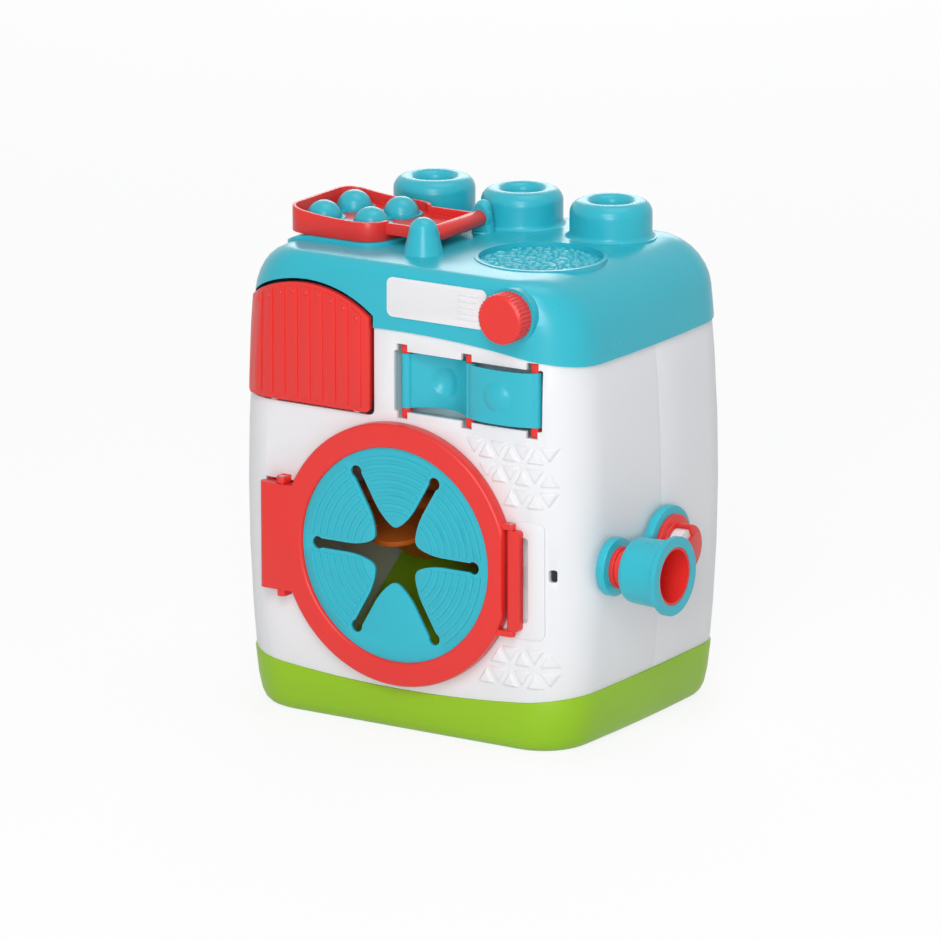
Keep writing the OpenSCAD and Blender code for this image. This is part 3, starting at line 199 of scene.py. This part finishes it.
def new_finish(name):
    """Material, its nodes, links and shader, and the coordinates that its patterns follow."""
    material = bpy.data.materials.new(name)
    material.use_nodes = True
    nodes, links = material.node_tree.nodes, material.node_tree.links
    return material, nodes, links, nodes["Principled BSDF"], nodes.new("ShaderNodeTexCoord")


def noise(nodes, links, place, scale, detail):
    field = nodes.new("ShaderNodeTexNoise")
    field.inputs["Scale"].default_value = scale
    field.inputs["Detail"].default_value = detail
    links.new(place.outputs["Object"], field.inputs["Vector"])
    return field.outputs["Fac"]


def moulded_plastic(name, code, roughness, drift=0.03):
    """Injection-moulded plastic: slow drift of the pigment, flow haze in the gloss and a fine grain."""
    colour = srgb(code)
    material, nodes, links, shader, place = new_finish(name)
    shader.inputs["IOR"].default_value = 1.43

    tint = nodes.new("ShaderNodeValToRGB")
    tint.color_ramp.elements[0].position = 0.15
    tint.color_ramp.elements[0].color = shade(colour, 1 - drift)
    tint.color_ramp.elements[1].position = 0.85
    tint.color_ramp.elements[1].color = shade(colour, 1 + drift)
    links.new(noise(nodes, links, place, PIGMENT_SCALE, 3), tint.inputs["Fac"])
    links.new(tint.outputs["Color"], shader.inputs["Base Color"])

    gloss = nodes.new("ShaderNodeMapRange")
    gloss.inputs["From Min"].default_value = 0.1
    gloss.inputs["From Max"].default_value = 0.9
    gloss.inputs["To Min"].default_value = roughness - 0.04
    gloss.inputs["To Max"].default_value = roughness + 0.05
    links.new(noise(nodes, links, place, HAZE_SCALE, 4), gloss.inputs["Value"])
    links.new(gloss.outputs["Result"], shader.inputs["Roughness"])

    bump = nodes.new("ShaderNodeBump")
    bump.inputs["Strength"].default_value = GRAIN_STRENGTH
    bump.inputs["Distance"].default_value = GRAIN_DEPTH * MM
    links.new(noise(nodes, links, place, GRAIN_SCALE, 2), bump.inputs["Height"])
    links.new(bump.outputs["Normal"], shader.inputs["Normal"])
    return material


def plain_steel(name):
    """Steel of the pins and screws, its gloss broken by fine scratches."""
    material, nodes, links, shader, place = new_finish(name)
    shader.inputs["Base Color"].default_value = (0.58, 0.59, 0.61, 1)
    shader.inputs["Metallic"].default_value = 1.0
    gloss = nodes.new("ShaderNodeMapRange")
    gloss.inputs["To Min"].default_value = 0.24
    gloss.inputs["To Max"].default_value = 0.46
    links.new(noise(nodes, links, place, SCRATCH_SCALE, 4), gloss.inputs["Value"])
    links.new(gloss.outputs["Result"], shader.inputs["Roughness"])
    return material


# One finish for each material slot of the record.
FINISHES = {
    "teal": moulded_plastic("teal_plastic", "#30B7C9", roughness=0.29),
    "red": moulded_plastic("red_plastic", "#E7342F", roughness=0.32, drift=0.02),
    "white": moulded_plastic("white_plastic", "#EBEBED", roughness=0.38, drift=0.008),
    "green": moulded_plastic("green_plastic", "#93C318", roughness=0.4),
    "orange": moulded_plastic("orange_plastic", "#F07A28", roughness=0.4),
    # White plastic whose pale teal tint is a painted reflection of the teal parts nearby.
    "pale": moulded_plastic("white_plastic_painted_teal_reflection", "#CDE5EA", roughness=0.4, drift=0.015),
    "steel": plain_steel("plain_steel"),
}

# ---- CAD nodes -------------------------------------------------------------
WELD_GAP = 0.01
FLAT_ANGLE = math.radians(0.6)
SMOOTH_ANGLE = math.radians(32)
ROUND_ANGLE = math.radians(34)
# Width of the soft edges. A node that isn't named here keeps its edges.
ROUNDING = {
    "crank_plate": 1.6, "crank_face": 0.8, "door_ring": 0.5, "latch_bar": 0.7, "latch_keeper": 0.8,
    "left_post": 0.3, "middle_post": 0.3, "right_post": 0.3, "label_plate": 0.3,
    "popper_tray": 0.4, "hinge_bracket": 0.3, "tumbler": 0.5, "front_shell": 0.35,
    "rear_shell": 0.35, "base_tray": 0.4, "drawer": 0.5, "door_diaphragm": 0.35,
}


def smooth_shade(piece):
    """Smooth shading that stops at sharp edges."""
    faces = piece.data.polygons
    faces.foreach_set("use_smooth", [True] * len(faces))
    split = piece.modifiers.new("sharp", "EDGE_SPLIT")
    split.split_angle = SMOOTH_ANGLE
    split.use_edge_sharp = False


def dress_node(node, slot):
    """Gives a CAD node its finish and soft edges; its own mesh stays as it is."""
    piece = frame["nodes"][node]
    piece.data.materials.clear()
    piece.data.materials.append(FINISHES[slot])
    weld = piece.modifiers.new("weld", "WELD")
    weld.merge_threshold = WELD_GAP * MM
    if node in ROUNDING:
        flats = piece.modifiers.new("flats", "DECIMATE")
        flats.decimate_type = "DISSOLVE"
        flats.angle_limit = FLAT_ANGLE
        bevel = piece.modifiers.new("rounding", "BEVEL")
        bevel.width = ROUNDING[node] * MM
        bevel.segments = 2
        bevel.limit_method = "ANGLE"
        bevel.angle_limit = ROUND_ANGLE
        bevel.use_clamp_overlap = True
    smooth_shade(piece)


# ---- new pieces ------------------------------------------------------------
FRONT_Y = -94.2           # plane of the front face
RAY_START_Y = -300        # well in front of the toy


def make_piece(name, shape, finish, body=None):
    """Smooth-shaded piece from a bmesh in millimetres, attached to a body when one is named."""
    bmesh.ops.scale(shape, verts=shape.verts, vec=(MM, MM, MM))
    bmesh.ops.recalc_face_normals(shape, faces=shape.faces)
    mesh = bpy.data.meshes.new(name)
    shape.to_mesh(mesh)
    shape.free()
    mesh.materials.append(FINISHES[finish])
    piece = bpy.data.objects.new(name, mesh)
    bpy.context.scene.collection.objects.link(piece)
    smooth_shade(piece)
    if body:
        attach(piece, body)
    return piece


def soften(shape, edges, width, segments=3):
    bmesh.ops.bevel(shape, geom=edges, offset=width, offset_type="OFFSET", segments=segments,
                    profile=0.5, affect="EDGES", material=-1, clamp_overlap=True)


def corners_of(node):
    """Low and high corner of a CAD node's box."""
    return [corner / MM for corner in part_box(node)]


def middle_of(node):
    low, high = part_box(node)
    return (low + high) / 2 / MM


def face_finder(node):
    """Function that gives the Y of a CAD node's front surface at a place across and up."""
    mesh = frame["nodes"][node].data
    tree = BVHTree.FromPolygons([v.co for v in mesh.vertices], [f.vertices for f in mesh.polygons])

    def front_at(x, z):
        start = Vector((x * MM, RAY_START_Y * MM, z * MM))
        place = tree.ray_cast(start, Vector((0, 1, 0)))[0]
        return place.y / MM if place else FRONT_Y
    return front_at


# ---- triangle relief on the front ------------------------------------------
RELIEF_PITCH = 16.6       # between triangles that point the same way
RELIEF_ACROSS = 9         # triangles in a row
RELIEF_ROW = 13.6         # height of a row
RELIEF_EVEN_ROW = 14.3    # height at which the triangles would have about equal sides
RELIEF_RIGHT = 102.65     # middle of the last triangle of each row
RELIEF_GROUPS = ((148.6, 3), (38.7, 2))      # lowest line and number of rows
RELIEF_FOOT = 7.2         # corner radius of a pad where it meets the shell, and at its top
RELIEF_TOP = 4.8
RELIEF_HEIGHT = 1.9
RELIEF_SUNK = 0.2
RELIEF_CORNER = 1.1       # rounding of a pad's corners, and of the rim of its top
RELIEF_RIM = 0.8
DOOR_MIDDLE = (1.2, 110.3)
DOOR_CLEAR = 83.5         # nearest that the relief comes to the middle of the door


def triangle_pad():
    """One low triangular pad with round corners, pointing along +Y."""
    pad = bmesh.new()
    bmesh.ops.create_circle(pad, cap_ends=True, segments=3, radius=RELIEF_FOOT)
    raised = bmesh.ops.extrude_face_region(pad, geom=list(pad.faces))["geom"]
    taper = RELIEF_TOP / RELIEF_FOOT
    for v in [item for item in raised if isinstance(item, bmesh.types.BMVert)]:
        v.co = (v.co.x * taper, v.co.y * taper, RELIEF_HEIGHT + RELIEF_SUNK)
    upright = [e for e in pad.edges if e.verts[0].co.z != e.verts[1].co.z]
    soften(pad, upright, RELIEF_CORNER)
    rim = [e for e in pad.edges if min(v.co.z for v in e.verts) > RELIEF_HEIGHT]
    soften(pad, rim, RELIEF_RIM, 4)
    mesh = bpy.data.meshes.new("triangle_pad")
    pad.to_mesh(mesh)
    pad.free()
    return mesh


def relief_places():
    """Middle of each triangle, across and up, and whether it points up."""
    for low, rows in RELIEF_GROUPS:
        for row in range(rows):
            for step in range(RELIEF_ACROSS):
                up = (step + row) % 2 == 1
                x = RELIEF_RIGHT - step * RELIEF_PITCH / 2
                z = low + RELIEF_ROW * (row + (1 / 3 if up else 2 / 3))
                if math.hypot(x - DOOR_MIDDLE[0], z - DOOR_MIDDLE[1]) > DOOR_CLEAR:
                    yield x, z, up


def add_triangle_relief():
    """Rows of pads at the right of the door; what would come too near the door is pressed back."""
    front_at = face_finder("front_shell")
    pad = triangle_pad()
    shape = bmesh.new()
    for x, z, up in relief_places():
        first = len(shape.verts)
        shape.from_mesh(pad)
        shape.verts.ensure_lookup_table()
        turn = 1 if up else -1
        for v in shape.verts[first:]:
            across = v.co.x * turn + x
            rise = v.co.y * turn * RELIEF_ROW / RELIEF_EVEN_ROW + z
            away = Vector((across - DOOR_MIDDLE[0], rise - DOOR_MIDDLE[1]))
            if away.length < DOOR_CLEAR:
                away *= DOOR_CLEAR / away.length
            across = away.x + DOOR_MIDDLE[0]
            rise = away.y + DOOR_MIDDLE[1]
            v.co = (across, front_at(across, rise) + RELIEF_SUNK - v.co.z, rise)
    make_piece("triangle_relief", shape, "white", "housing")
    bpy.data.meshes.remove(pad)


# ---- label -----------------------------------------------------------------
LABEL_RIDGES = 5
RIDGE_INSET = 18.9        # from the label's right end to where the ridges start
RIDGE_LENGTH = 11         # of the middle ridge; each one farther out is 1 longer
RIDGE_FIRST = 0.22        # height of the lowest ridge, and their pitch, as shares of the label's height
RIDGE_PITCH = 0.15
RIDGE_DEPTH = 1.2
RIDGE_WIDTH = 1.3
RIDGE_ROUNDING = 0.45
RIDGE_PROUD = 0.55        # of the crest over the ridge of the solid


def add_label_ridges():
    """Rounded crest on each short ridge at the right end of the label."""
    front_at = face_finder("label_plate")
    low, high = corners_of("label_plate")
    shape = bmesh.new()
    for i in range(LABEL_RIDGES):
        length = RIDGE_LENGTH + abs(i - LABEL_RIDGES // 2)
        x = high.x - RIDGE_INSET + length / 2
        z = low.z + (high.z - low.z) * (RIDGE_FIRST + RIDGE_PITCH * i)
        middle = front_at(x, z) - RIDGE_PROUD + RIDGE_DEPTH / 2
        size = Matrix.Diagonal((length, RIDGE_DEPTH, RIDGE_WIDTH, 1))
        bar = bmesh.ops.create_cube(shape, size=1, matrix=Matrix.Translation((x, middle, z)) @ size)
        edges = dict.fromkeys(e for v in bar["verts"] for e in v.link_edges)
        rim = [e for e in edges if max(v.co.y for v in e.verts) < middle]
        soften(shape, rim, RIDGE_ROUNDING)
    make_piece("label_ridge_crests", shape, "white", "housing")


# ---- snap-through strip ----------------------------------------------------
POST_DEPTH = -5.4         # post axes behind the front face
STRIP_BULGE = 8.0
STRIP_THICK = 1.2
STRIP_SHORTER = 0.4       # than the solid strip, from bottom to top
AHEAD_AT_POST = 2.8       # of the sheet in front of the arc through the post axes
AHEAD_BETWEEN = 0.5
DIMPLE_RADIUS = 9.0
DIMPLE_DEPTH = 2.8
SLEEVE_RADIUS = 3.45
SLEEVE_WALL = 1.15


def strip_point(share, side, left, right):
    """Place across, place out of the face and length along the arc, at a share of one half of the strip."""
    half_span = (right - left) / 2
    radius = (half_span ** 2 + STRIP_BULGE ** 2) / (2 * STRIP_BULGE)
    turn = math.asin(half_span / radius) * (2 * share - 1)
    ahead = AHEAD_BETWEEN + (AHEAD_AT_POST - AHEAD_BETWEEN) * math.cos(math.pi * share) ** 2
    across = (left + right) / 2 + radius * math.sin(turn) + ahead * side * math.sin(turn)
    out = POST_DEPTH + side * (radius * math.cos(turn) - radius + STRIP_BULGE) + ahead * math.cos(turn)
    return across, out, radius * turn


def add_strip_half(name, posts, side):
    """Half of the strip: side is 1 where it bows outwards and -1 where it bows inwards."""
    left, right = (middle_of(post).x for post in posts)
    low, high = (corner.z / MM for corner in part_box("flex_strip"))
    shape = bmesh.new()
    bmesh.ops.create_grid(shape, x_segments=56, y_segments=36, size=0.5)
    for v in shape.verts:
        across, out, along = strip_point(v.co.x + 0.5, side, left, right)
        rise = (low + high) / 2 + v.co.y * (high - low - STRIP_SHORTER)
        dimple = 1 - (along ** 2 + (rise - (low + high) / 2) ** 2) / DIMPLE_RADIUS ** 2
        v.co = (across, FRONT_Y - out - side * DIMPLE_DEPTH * max(dimple, 0), rise)
    bmesh.ops.recalc_face_normals(shape, faces=shape.faces)
    bmesh.ops.solidify(shape, geom=shape.faces[:], thickness=STRIP_THICK)
    half = make_piece(name, shape, "teal")
    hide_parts("flex_strip")
    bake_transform(half)


def add_sleeve(post, body):
    """Tube by which the strip turns on a post."""
    low, high = (corner.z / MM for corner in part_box("flex_strip"))
    shape = bmesh.new()
    bmesh.ops.create_cone(shape, cap_ends=False, segments=48, radius1=SLEEVE_RADIUS,
                          radius2=SLEEVE_RADIUS, depth=high - low)
    bmesh.ops.recalc_face_normals(shape, faces=shape.faces)
    bmesh.ops.solidify(shape, geom=shape.faces[:], thickness=SLEEVE_WALL)
    place = (middle_of(post).x, FRONT_Y - POST_DEPTH, (low + high) / 2)
    bmesh.ops.translate(shape, verts=shape.verts, vec=place)
    make_piece(post.replace("post", "sleeve"), shape, "teal", body)


# ---- pebbled pad -----------------------------------------------------------
PAD_THICK = 1.2
PAD_MARGIN = 0.6          # kept free round the pebbles
PEBBLE_SEED = 7
PEBBLE_TRIES = 6000
PEBBLE_RADII = (2.0, 4.0)
PEBBLE_STRETCH = (0.85, 1.1)
PEBBLE_MIDDLE = 1.1       # over the foot of the pad
PEBBLE_RISE = 1.5         # of the top over the middle
PEBBLE_SPACING = 0.86     # least distance of two middles, as a share of both radii together


def pebble_places(draw, pad_radius):
    """Middle and radius of each pebble, filling the pad at random."""
    placed = []
    for _ in range(PEBBLE_TRIES):
        radius = draw.uniform(*PEBBLE_RADII)
        away = (pad_radius - radius - PAD_MARGIN) * math.sqrt(draw.random())
        turn = draw.uniform(0, 2 * math.pi)
        place = Vector((away * math.cos(turn), away * math.sin(turn), PEBBLE_MIDDLE))
        if all((place - other).length > (radius + reach) * PEBBLE_SPACING for other, reach in placed):
            placed.append((place, radius))
    return placed


def add_pebble_pad():
    """Disc of the dish, covered with low round pebbles of mixed sizes."""
    low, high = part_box("texture_pad")
    middle = middle_of("texture_pad")
    pad_radius = (high.x - low.x) / 2 / MM
    shape = bmesh.new()
    bmesh.ops.create_cone(shape, cap_ends=True, segments=96, radius1=pad_radius, radius2=pad_radius,
                          depth=PAD_THICK)
    bmesh.ops.translate(shape, verts=shape.verts, vec=(0, 0, PAD_THICK / 2))
    draw = random.Random(PEBBLE_SEED)
    for place, radius in pebble_places(draw, pad_radius):
        length = radius * draw.uniform(*PEBBLE_STRETCH)
        width = radius * draw.uniform(*PEBBLE_STRETCH)
        turn = Matrix.Rotation(draw.uniform(0, math.pi), 4, "Z")
        size = Matrix.Diagonal((length, width, PEBBLE_RISE, 1))
        bmesh.ops.create_uvsphere(shape, u_segments=16, v_segments=10, radius=1,
                                  matrix=Matrix.Translation(place) @ turn @ size)
    bmesh.ops.translate(shape, verts=shape.verts, vec=(middle.x, middle.y, low.z / MM))
    pad = make_piece("pebble_pad", shape, "teal", "housing")
    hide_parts("texture_pad")


# ---- drawer front ----------------------------------------------------------
DRAWER_RIBS = 9
RIBS_FROM_LEFT = 6.0      # plain strip at each end of the drawer, beside the ribs
RIBS_FROM_RIGHT = 4.0
DRAWER_ARCH = 74.0        # radius of the drawer's top edge
NIB_ARCH = 68.0           # the nibs lie on this radius, round the same middle
NIB_SIZE = (1.5, 1.1, 1.5)
NIB_SUNK = 0.3


def add_rib_tips():
    """Small round nib at the top of each rib of the drawer front."""
    front_at = face_finder("drawer")
    low, high = corners_of("drawer")
    middle = (low.x + high.x) / 2
    pitch = (high.x - low.x - (RIBS_FROM_LEFT + RIBS_FROM_RIGHT)) / DRAWER_RIBS
    shape = bmesh.new()
    for i in range(DRAWER_RIBS):
        x = low.x + RIBS_FROM_LEFT + pitch * (i + 0.5)
        z = high.z - DRAWER_ARCH + math.sqrt(NIB_ARCH ** 2 - (x - middle) ** 2)
        place = Matrix.Translation((x, front_at(x, z) + NIB_SUNK, z))
        bmesh.ops.create_uvsphere(shape, u_segments=20, v_segments=12, radius=1,
                                  matrix=place @ Matrix.Diagonal((*NIB_SIZE, 1)))
    make_piece("drawer_rib_tips", shape, "red", "drawer_body")


# ---- the whole toy ---------------------------------------------------------
add_camera()
light_room()
# Name, place, side and power of each lamp.
softbox("key_softbox", (0.95, -2.0, 2.0), 1.1, 24)
softbox("front_softbox", (1.35, -2.5, 0.85), 0.9, 27)
softbox("top_softbox", (0.3, 0.2, 2.4), 1.4, 11)
softbox("back_softbox", (-1.4, 2.4, 1.3), 1.4, 16)
lay_floor()

for part in frame["record"]["subparts"]:
    dress_node(part["node"], part["material_slot"])

add_triangle_relief()
add_label_ridges()
add_strip_half("strip_left_half", ("left_post", "middle_post"), -1)
add_strip_half("strip_right_half", ("middle_post", "right_post"), 1)
for side in ("left", "middle", "right"):
    add_sleeve(f"{side}_post", f"strip_{side}")
add_pebble_pad()
add_rib_tips()

bpy.context.scene.view_settings.view_transform = "Standard"
